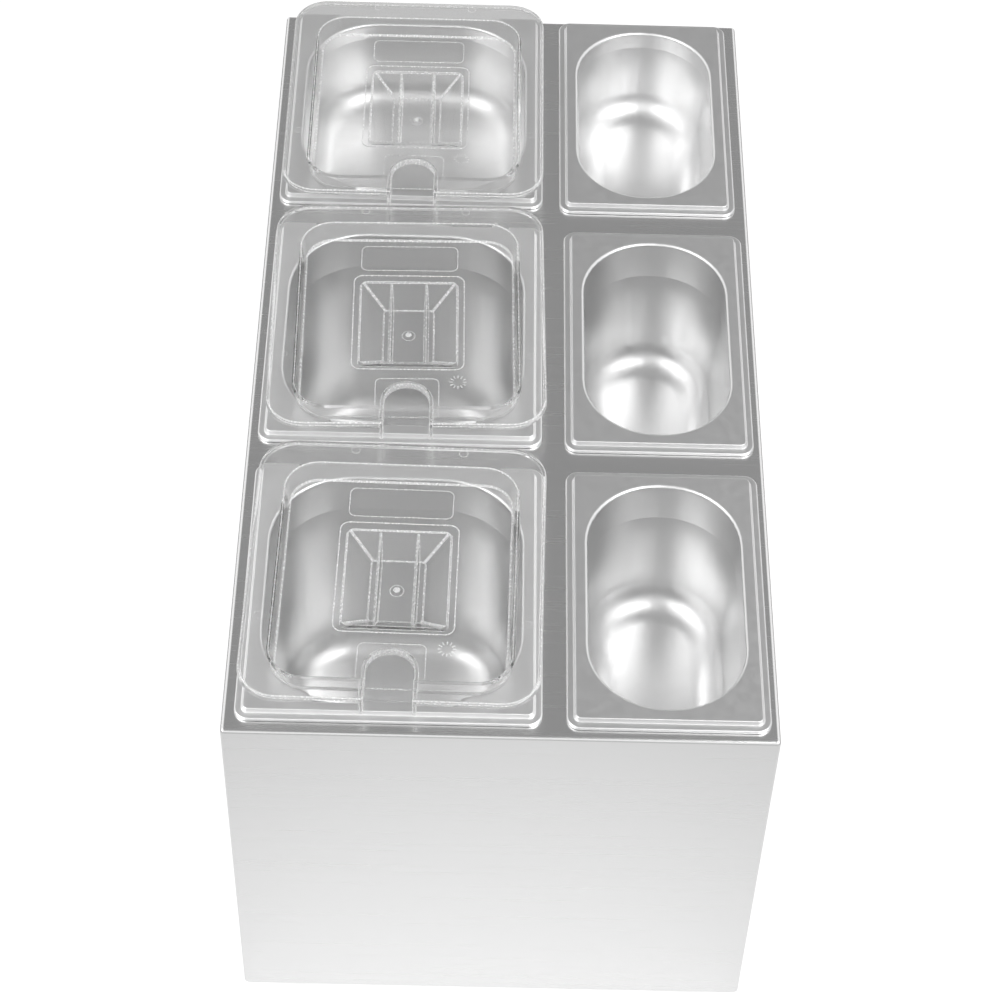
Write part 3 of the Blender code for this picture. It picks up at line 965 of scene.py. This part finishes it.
@dataclass
class Lid:
    """A clear moulded lid: skirt, rim, pocket, finger hopper, grip fins and spoon notch."""

    width: float = 160 * MM
    length: float = 177 * MM
    corner: float = 21 * MM
    sheet: float = 2 * MM
    skirt: float = 4.2 * MM
    rim_bend: float = 2.6 * MM
    rim_side: float = 16.5 * MM
    rim_end: float = 15 * MM
    pocket_depth: float = 14 * MM
    pocket_corner: float = 18 * MM
    pocket_angle: float = -83.0
    hopper_width: float = 56.5 * MM
    hopper_length: float = 66 * MM
    hopper_side_slope: float = 13.5 * MM
    hopper_end_slope: float = 12 * MM
    hopper_depth: float = 12 * MM
    hopper_corner: float = 2.4 * MM
    hopper_corner_segments: int = 4
    hopper_rearward: float = 3.2 * MM
    hopper_growth_share: float = 0.4  # of the sheet, between the hopper's two surfaces
    hopper_edge_share: float = 0.15  # of a normal, past which a face is one of its corners
    fin_spacing: float = 20.8 * MM
    fin_crest: float = 0.9 * MM
    fin_root: float = 2.6 * MM
    fin_reveal: float = 1.3 * MM
    notch_width: float = 26 * MM
    notch_reach: float = 41 * MM
    notch_wall: float = 2 * MM
    notch_lip: float = 2.5 * MM
    rear_rim_extra: float = 2 * MM
    edge_round: float = 0.35 * MM
    edge_segments: int = 2
    sharp_beyond: float = 36.0  # the angle past which an edge is rounded, in degrees
    weld: float = 0.002 * MM
    sliver: float = 0.08 * MM
    highlight_bend_tilts: tuple[float, float] = (36.0, 55.0)  # the tilts whose faces get the painted highlight, in degrees
    highlight_foot_tilts: tuple[float, float] = (36.0, 62.0)

    def build(self, row: Row, turn: float, mould: Mesh, marks: Mesh) -> None:
        """Place a copy of the moulding and of its marks on one pan.

        Args:
            row: The row that the lid stands in.
            turn: How far the loose lid lies turned, in degrees.
            mould: The moulded mesh, about its middle and its rim's top.
            marks: The mesh of its raised marks, about the same point.
        """
        node = f"lid_{row.value}"
        low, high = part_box(node)
        place = Matrix.Translation(((low.x + high.x) / 2, (low.y + high.y) / 2, high.z))
        place = place @ Matrix.Rotation(math.radians(turn), 4, "Z")
        for suffix, mesh, nodes in (("moulded", mould, [node]), ("marks", marks, [])):
            placed = mesh.copy()
            placed.transform(place)
            piece = add_object(f"{node}_{suffix}", placed)
            even_normals(piece)
            dress(piece, None, node, Slot.LID, *nodes)

    def mould(self, clear: Material, edge: Material) -> Mesh:
        """Mould the lid about its middle, with its rim's top at zero.

        Args:
            clear: The finish of its faces.
            edge: The painted highlight finish of its bends, its rounded edges and the cut of its notch.

        Returns:
            The moulded mesh with both finishes.
        """
        bm = bmesh.new()
        self.skin(bm, 0.0)
        self.skin(bm, self.sheet)
        bmesh.ops.remove_doubles(bm, verts=list(bm.verts), dist=self.weld)
        bmesh.ops.recalc_face_normals(bm, faces=list(bm.faces))
        lid = as_object("lid", bm)
        lid.data.materials.append(clear)
        lid.data.materials.append(edge)
        for tool in (self.notch_walls(), self.notch_ring(), self.fin(-1), self.fin(1)):
            combine(lid, tool, Join.ADD)
        # The notch's cut faces take the painted highlight finish.
        combine(lid, paint_highlight(self.notch()), Join.CUT)
        merge_slivers(lid, self.sliver)
        self.round_edges(lid)
        settle(lid)
        shade(lid)
        return take_mesh(lid)

    def skin(self, bm: BMesh, gap: float) -> None:
        """Draw one surface of the shell, open at its foot.

        Args:
            bm: The mesh under construction.
            gap: How far the surface lies inside the plastic, or zero for the upper one.
        """
        rim = add_outline(bm, self.width, self.length, self.corner, -self.skirt)
        if gap:
            draw_section(bm, rim, LEVEL, Run(gap))
        draw_section(bm, rim, UPRIGHT, Run(self.skirt - self.rim_bend),
                     Turn(self.rim_bend - gap, LEVEL))
        pocket = add_outline(bm, self.width - 2 * (self.rim_side - self.rim_bend),
                             self.length - 2 * (self.rim_end - self.rim_bend) - self.rear_rim_extra,
                             self.pocket_corner + self.rim_bend, -gap,
                             (0.0, -self.rear_rim_extra / 2))
        bridge_caps(bm, rim, pocket)
        draw_section(bm, pocket, LEVEL, *slope(-self.pocket_depth, self.rim_bend - gap,
                                               self.rim_bend + gap, self.pocket_angle))
        if not gap:
            self.paint_bend_highlights(bm)
        floor = -self.pocket_depth - gap
        opening = self.hopper_outline(bm, gap, 0.0, floor)
        fill_round(bm, pocket, opening)
        hollow = self.hopper_outline(bm, gap, 1.0, floor - self.hopper_depth)
        before = set(bm.faces)
        bridge_caps(bm, opening, hollow)
        bm.normal_update()
        # On the upper surface, the hopper's corner faces take the painted highlight finish.
        for face in set(bm.faces) - before:
            if min(abs(face.normal.x), abs(face.normal.y)) > self.hopper_edge_share and not gap:
                face.material_index = HIGHLIGHT_SLOT

    def round_edges(self, moulding: Object) -> None:
        """Round the sharp edges of the moulding, and give the rounding the painted highlight finish.

        Args:
            moulding: The lid, which gets a modifier.
        """
        rounding = moulding.modifiers.new("rounding", "BEVEL")
        rounding.width = self.edge_round
        rounding.segments = self.edge_segments
        rounding.limit_method = "ANGLE"
        rounding.angle_limit = math.radians(self.sharp_beyond)
        rounding.use_clamp_overlap = False
        rounding.material = HIGHLIGHT_SLOT

    def paint_bend_highlights(self, bm: BMesh) -> None:
        """Paint a highlight on the middle of each bend with the second finish, as its thin white line.

        Args:
            bm: The mesh under construction.
        """
        bm.normal_update()
        for face in bm.faces:
            at_foot = face.calc_center_median().z < -self.pocket_depth / 2
            least, most = self.highlight_foot_tilts if at_foot else self.highlight_bend_tilts
            if math.cos(math.radians(most)) < abs(face.normal.z) < math.cos(math.radians(least)):
                face.material_index = HIGHLIGHT_SLOT

    def hopper_outline(self, bm: BMesh, gap: float, down: float, level: float) -> BMFace:
        """One outline of the hopper, at its mouth (down 0) or at its floor (down 1)."""
        grown = 2 * self.hopper_growth_share * gap
        return add_outline(bm, self.hopper_width + grown - 2 * down * self.hopper_side_slope,
                           self.hopper_length + grown - 2 * down * self.hopper_end_slope,
                           self.hopper_corner, level, (0.0, self.hopper_rearward),
                           segments=self.hopper_corner_segments)

    def notch_walls(self) -> BMesh:
        """The block that closes the hollow rim on both sides of the notch.

        Returns:
            Its closed mesh.
        """
        bm = bmesh.new()
        half = self.notch_width / 2 + self.notch_wall
        front = -self.length / 2
        add_block(bm, Vector((-half, front + self.sheet / 2, -self.pocket_depth - self.sheet / 3)),
                  Vector((half, front + self.rim_end - self.sheet / 3, -self.sheet / 2)))
        return bm

    def notch_ring(self) -> BMesh:
        """The arched lip round the notch.

        Returns:
            Its closed mesh.
        """
        bm = bmesh.new()
        root = -self.pocket_depth - self.sheet / 2
        front = -self.length / 2 + self.rim_end - self.sheet / 2
        rear = -self.length / 2 + self.notch_reach + self.notch_wall
        width = self.notch_width + 2 * self.notch_wall
        add_prism(bm, width, 2 * (rear - front), ROUND_END_SHARE * width, root,
                  self.notch_lip - self.pocket_depth, (0.0, front))
        bmesh.ops.bisect_plane(bm, geom=[*bm.verts, *bm.edges, *bm.faces],
                               plane_co=(0.0, front, 0.0), plane_no=(0.0, 1.0, 0.0),
                               clear_inner=True)
        bmesh.ops.holes_fill(bm, edges=[edge for edge in bm.edges if edge.is_boundary])
        return bm

    def fin(self, side: int) -> BMesh:
        """One grip fin across the hopper, thin at its crest.

        Args:
            side: -1 for the left fin, and 1 for the right one.

        Returns:
            Its closed mesh.
        """
        bm = bmesh.new()
        root = -self.pocket_depth - self.hopper_depth - self.sheet / 2
        crest = -self.pocket_depth - self.fin_reveal
        half = self.hopper_length / 2 + self.sheet / 4
        middle = Vector((side * self.fin_spacing / 2, self.hopper_rearward, 0.0))
        corners = add_block(bm, middle + Vector((-self.fin_root / 2, -half, root)),
                            middle + Vector((self.fin_root / 2, half, crest)))
        for vert in corners:
            offset = vert.co - middle
            if offset.z > (root + crest) / 2:
                vert.co.x = middle.x + math.copysign(self.fin_crest / 2, offset.x)
            else:
                vert.co.y -= math.copysign(self.hopper_end_slope, offset.y)
        return bm

    def notch(self) -> BMesh:
        """The cutter of the spoon notch.

        Returns:
            Its closed mesh.
        """
        bm = bmesh.new()
        front = -self.length / 2 - self.notch_width
        rear = -self.length / 2 + self.notch_reach
        add_prism(bm, self.notch_width, rear - front, ROUND_END_SHARE * self.notch_width,
                  -self.pocket_depth - 2 * self.sheet, self.sheet, (0.0, (front + rear) / 2))
        return bm


@dataclass
class LidMarks:
    """The raised outlines and small round marks that the tool leaves on a lid."""

    lid: Lid
    bead: float = 0.42 * MM
    height: float = 0.16 * MM
    seat: float = 0.02 * MM
    frame_size: tuple[float, float] = (66 * MM, 76 * MM)
    frame_corner: float = 5.5 * MM
    frame_bead: float = 0.6 * MM
    label_size: tuple[float, float] = (58 * MM, 20.5 * MM)
    label_corner: float = 4 * MM
    label_rearward: float = 55.5 * MM
    border_size: tuple[float, float] = (37 * MM, 30 * MM)
    border_corner: float = 3.5 * MM
    border_rearward: float = -56.5 * MM
    ejector: float = 5 * MM
    ejector_places: tuple[tuple[float, float], ...] = (
        (-26.8 * MM, 81.5 * MM), (33.3 * MM, 81.5 * MM), (71.4 * MM, -36 * MM), (-71.4 * MM, -36 * MM))
    dial_place: tuple[float, float] = (29.3 * MM, -44 * MM)
    dial_size: float = 10 * MM
    dial_ticks: int = 12
    tick_size: tuple[float, float] = (0.6 * MM, 2 * MM)
    gate_size: float = 8 * MM
    dome_radius: float = 2 * MM
    dome_facets: tuple[int, int] = (16, 8)
    dome_share: float = 0.5  # of the dome's radius, which is its height

    def build(self, edge: Material) -> Mesh:
        """Raise every mark about the lid's middle, with its rim's top at zero.

        Args:
            edge: The finish of the marks, which paints a highlight on them.

        Returns:
            The mesh of all the marks.
        """
        bm = bmesh.new()
        floor = self.seat - self.lid.pocket_depth
        add_bead(bm, *self.frame_size, self.frame_corner, floor,
                 (0.0, self.lid.hopper_rearward), self.frame_bead, 2 * self.height)
        add_bead(bm, *self.label_size, self.label_corner, floor, (0.0, self.label_rearward),
                 self.bead, self.height)
        add_bead(bm, *self.border_size, self.border_corner, floor, (0.0, self.border_rearward),
                 self.bead, self.height)
        for place in self.ejector_places:
            add_bead(bm, self.ejector, self.ejector, ROUND_END_SHARE * self.ejector, self.seat, place,
                     self.bead / 2, self.height)
        self.add_dial(bm, floor)
        self.add_gate(bm, floor - self.lid.hopper_depth)
        bmesh.ops.recalc_face_normals(bm, faces=list(bm.faces))
        marks = as_object("marks", bm)
        # The marks take the painted highlight finish.
        marks.data.materials.append(edge)
        shade(marks)
        return take_mesh(marks)

    def add_dial(self, bm: BMesh, level: float) -> None:
        """A ring of short ticks, as the tool's plain wear gauge leaves.

        Args:
            bm: The mesh under construction.
            level: The level of the ticks' feet.
        """
        across, along = self.tick_size
        for number in range(self.dial_ticks):
            half = Vector((across / 2, along / 2, self.height / 2))
            tick = add_block(bm, -half, half)
            reach = Matrix.Translation((0.0, (self.dial_size - along) / 2, 0.0))
            turned = Matrix.Rotation(math.tau * number / self.dial_ticks, 4, "Z")
            place = Matrix.Translation((*self.dial_place, level + self.height / 2))
            bmesh.ops.transform(bm, matrix=place @ turned @ reach, verts=tick)

    def add_gate(self, bm: BMesh, level: float) -> None:
        """The round gate scar on the hopper's floor: a ring and a small dome.

        Args:
            bm: The mesh under construction.
            level: The level of its foot.
        """
        centre = (0.0, self.lid.hopper_rearward)
        add_bead(bm, self.gate_size, self.gate_size, ROUND_END_SHARE * self.gate_size, level, centre,
                 self.bead, 2 * self.height)
        around, upwards = self.dome_facets
        dome = bmesh.ops.create_uvsphere(bm, u_segments=around, v_segments=upwards,
                                         radius=self.dome_radius)["verts"]
        bmesh.ops.scale(bm, vec=(1.0, 1.0, self.dome_share), verts=dome)
        bmesh.ops.translate(bm, vec=(*centre, level + self.dome_share * self.dome_radius),
                            verts=dome)


@dataclass(frozen=True)
class Softbox:
    """A soft lamp that faces the holder. Its radiance is 1 where its face is white."""

    name: str
    place: tuple[float, float, float]
    radiance: float
    size: tuple[float, float] = (1.5, 1.3)
    target: tuple[float, float, float] = (0.0, 0.0, 0.2)

    def build(self) -> None:
        """Add the lamp and turn it to its target."""
        lamp = bpy.data.lights.new(self.name, "AREA")
        lamp.shape = "RECTANGLE"
        lamp.size, lamp.size_y = self.size
        lamp.energy = self.radiance * math.pi * self.size[0] * self.size[1]
        holder = add_object(self.name, lamp)
        holder.location = self.place
        away = Vector(self.place) - Vector(self.target)
        holder.rotation_euler = away.to_track_quat("Z", "Y").to_euler()


@dataclass
class Studio:
    """Pale floor, soft lamps and the camera of the photograph.

    The levels are strengths, where 1 is white. A pair gives where a change starts and ends: as
    reaches in metres on the floor, as shares of the way up, aside or back in the world, and as
    degrees from the camera's direction for its dark spot.
    """

    focal_pixels: float = 2718.0
    frame_pixels: float = 1000.0
    sensor_width: float = 36.0
    clip_range: tuple[float, float] = (0.05, 100.0)
    camera_place: tuple[float, float, float] = (-0.0160, -1.0970, 1.4357)
    camera_down: float = 50.26
    camera_right: float = 0.805
    camera_roll: float = 1.938
    floor_size: float = 30.0
    floor_colour: str = "B4B4B4"
    floor_glow: float = 0.76
    far_glow: float = 0.1
    near_dimming: float = 0.34
    dimming_reach: tuple[float, float] = (0.25, 0.75)
    white_level: float = 1.0
    gap_level: float = 0.28
    gap_aside: tuple[float, float] = (0.5, 0.15)
    gap_back: tuple[float, float] = (-0.75, -0.45)
    gap_up: tuple[float, float] = (0.1, 0.4)
    spot_level: float = 0.2
    spot_angles: tuple[float, float] = (14.0, 5.0)
    bounced_share: float = 0.6
    softboxes: tuple[Softbox, ...] = (
        Softbox("right_softbox", (1.15, -1.25, 1.75), radiance=3.4),
        Softbox("left_softbox", (-1.4, -0.9, 1.6), radiance=2.2))

    def build(self) -> None:
        """Make the floor, the lamps, the world and the camera."""
        self.build_floor()
        self.build_world()
        for softbox in self.softboxes:
            softbox.build()
        self.build_camera()

    def build_floor(self) -> None:
        """A plain pale floor that shows white, with the holder's soft shadow."""
        bm = bmesh.new()
        bmesh.ops.create_grid(bm, x_segments=1, y_segments=1, size=self.floor_size / 2)
        floor = as_object("studio_floor", bm)
        material = bpy.data.materials.new("studio_floor")
        material.use_nodes = True
        tree = material.node_tree
        tree.nodes.clear()
        paper = add_node(tree, "BsdfDiffuse", {"Color": linear(self.floor_colour)})
        seen = seen_directly(tree)
        place = add_node(tree, "TexCoord").outputs["Object"]
        reach = add_node(tree, "VectorMath", {0: place}, operation="LENGTH")
        start, end = self.dimming_reach
        far = add_node(tree, "MapRange", {
            "Value": reach.outputs["Value"], "From Min": start, "From Max": end,
            "To Min": self.near_dimming}, interpolation_type="SMOOTHSTEP")
        mirrored = add_node(tree, "LightPath").outputs["Is Glossy Ray"]
        dimming = add_node(tree, "Math", {0: far, 1: mirrored}, operation="MULTIPLY")
        glowing = add_node(tree, "MapRange", {
            "Value": dimming, "To Min": self.floor_glow, "To Max": self.far_glow})
        strength = add_node(tree, "Math", {0: seen, 1: glowing}, operation="MULTIPLY")
        glow = add_node(tree, "Emission", {"Color": linear(WHITE), "Strength": strength})
        both = add_node(tree, "AddShader", {0: paper, 1: glow})
        add_node(tree, "OutputMaterial", {"Surface": both})
        floor.data.materials.append(material)

    def build_world(self) -> None:
        """A white surround with a dim band overhead and a dark spot at the camera."""
        world = bpy.data.worlds.new("studio")
        bpy.context.scene.world = world
        world.use_nodes = True
        tree = world.node_tree
        tree.nodes.clear()
        way = add_node(tree, "TexCoord").outputs["Generated"]
        parts = add_node(tree, "SeparateXYZ", {"Vector": way})
        aside = add_node(tree, "Math", {0: parts.outputs["X"]}, operation="ABSOLUTE")
        gap = 1.0
        for value, (start, end) in ((aside, self.gap_aside), (parts.outputs["Y"], self.gap_back),
                                    (parts.outputs["Z"], self.gap_up)):
            within = add_node(tree, "MapRange", {
                "Value": value, "From Min": start, "From Max": end},
                interpolation_type="SMOOTHSTEP")
            gap = add_node(tree, "Math", {0: gap, 1: within}, operation="MULTIPLY")
        dimmed = add_node(tree, "MapRange", {
            "Value": gap, "To Min": self.white_level, "To Max": self.gap_level})
        towards = add_node(tree, "VectorMath", {
            0: way, 1: Vector(self.camera_place).normalized()}, operation="DOT_PRODUCT")
        start, end = (math.cos(math.radians(angle)) for angle in self.spot_angles)
        spot = add_node(tree, "MapRange", {
            "Value": towards.outputs["Value"], "From Min": start, "From Max": end},
            interpolation_type="SMOOTHSTEP")
        level = add_node(tree, "Mix", {
            0: spot, 2: dimmed, 3: self.spot_level}, data_type="FLOAT")
        seen = seen_directly(tree)
        share = add_node(tree, "MapRange", {"Value": seen, "To Min": self.bounced_share})
        strength = add_node(tree, "Math", {0: level, 1: share}, operation="MULTIPLY")
        sky = add_node(tree, "Background", {"Color": linear(WHITE), "Strength": strength})
        add_node(tree, "OutputWorld", {"Surface": sky})

    def build_camera(self) -> None:
        """The camera, at the photograph's viewing angle."""
        down, right, roll = (math.radians(angle) for angle in
                             (self.camera_down, self.camera_right, self.camera_roll))
        forward = Vector((math.sin(right) * math.cos(down), math.cos(right) * math.cos(down),
                          -math.sin(down)))
        level = forward.cross(Vector(UP)).normalized()
        rising = level.cross(forward)
        side = level * math.cos(roll) + rising * math.sin(roll)
        upward = rising * math.cos(roll) - level * math.sin(roll)
        camera = bpy.data.cameras.new("camera")
        camera.sensor_width = self.sensor_width
        camera.lens = self.focal_pixels * self.sensor_width / self.frame_pixels
        camera.clip_start, camera.clip_end = self.clip_range
        holder = add_object("camera", camera)
        turned = Matrix((side, upward, -forward)).transposed().to_4x4()
        holder.matrix_world = Matrix.Translation(self.camera_place) @ turned
        bpy.context.scene.camera = holder


def seen_directly(tree: NodeTree) -> Node:
    """One for rays from the camera, a gloss or a clear piece, and zero for the others.

    Args:
        tree: The node tree that takes the nodes.

    Returns:
        The node that gives the one or zero.
    """
    path = add_node(tree, "LightPath")
    first = add_node(tree, "Math", {
        0: path.outputs["Is Camera Ray"], 1: path.outputs["Is Glossy Ray"]}, operation="MAXIMUM")
    return add_node(tree, "Math", {
        0: first, 1: path.outputs["Is Transmission Ray"]}, operation="MAXIMUM")


@dataclass
class PanHolder:
    """The whole holder: its box, its pans and their lids.

    The wide pans have a slightly dished floor, whose slopes gather light from both sides. The
    two deep ones get a lighter copy of the same steel, which paints in the light that falls
    far into them.
    """

    wide_pans: str = "sixth_pan"
    narrow_pans: str = "ninth_pan"
    wide_dish: float = 14.0
    # A lighter copy of the steel's colour, which paints light into the two deep pans.
    painted_light_steel: str = "F8F8F8"
    lid_turns: tuple[float, float, float] = (-1.0, 1.0, 0.0)

    def build(self) -> None:
        """Build every sub-assembly in its own class."""
        Housing().build()
        satin = SatinStainless("pan_stainless").build()
        painted_light_satin = SatinStainless("painted_light_pan_stainless", colour=self.painted_light_steel).build()
        for kind, dish in ((self.wide_pans, self.wide_dish), (self.narrow_pans, LEVEL)):
            for row in Row:
                # The two deep wide pans take the lighter steel, as painted light.
                deep_and_wide = kind == self.wide_pans and row is not Row.REAR
                Pan(f"{kind}_{row.value}", dish_angle=dish).build(painted_light_satin if deep_and_wide else satin)
        clear = ClearPolycarbonate("lid_polycarbonate").build()
        # The lids' bends, edges and marks get painted highlights from this finish.
        edge = PaintedHighlightEdge("lid_edge_painted_highlight").build()
        lid = Lid()
        mould = lid.mould(clear, edge)
        marks = LidMarks(lid).build(edge)
        for row, turn in zip(Row, self.lid_turns):
            lid.build(row, turn, mould, marks)


def main() -> None:
    """Load the frame, build the holder round it and set up the studio."""
    logging.basicConfig(level=logging.INFO, format="%(message)s")
    for thing in list(bpy.data.objects):
        bpy.data.objects.remove(thing, do_unlink=True)
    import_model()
    PanHolder().build()
    Studio().build()
    bpy.context.scene.view_settings.view_transform = "Standard"


if __name__ == "__main__":
    main()
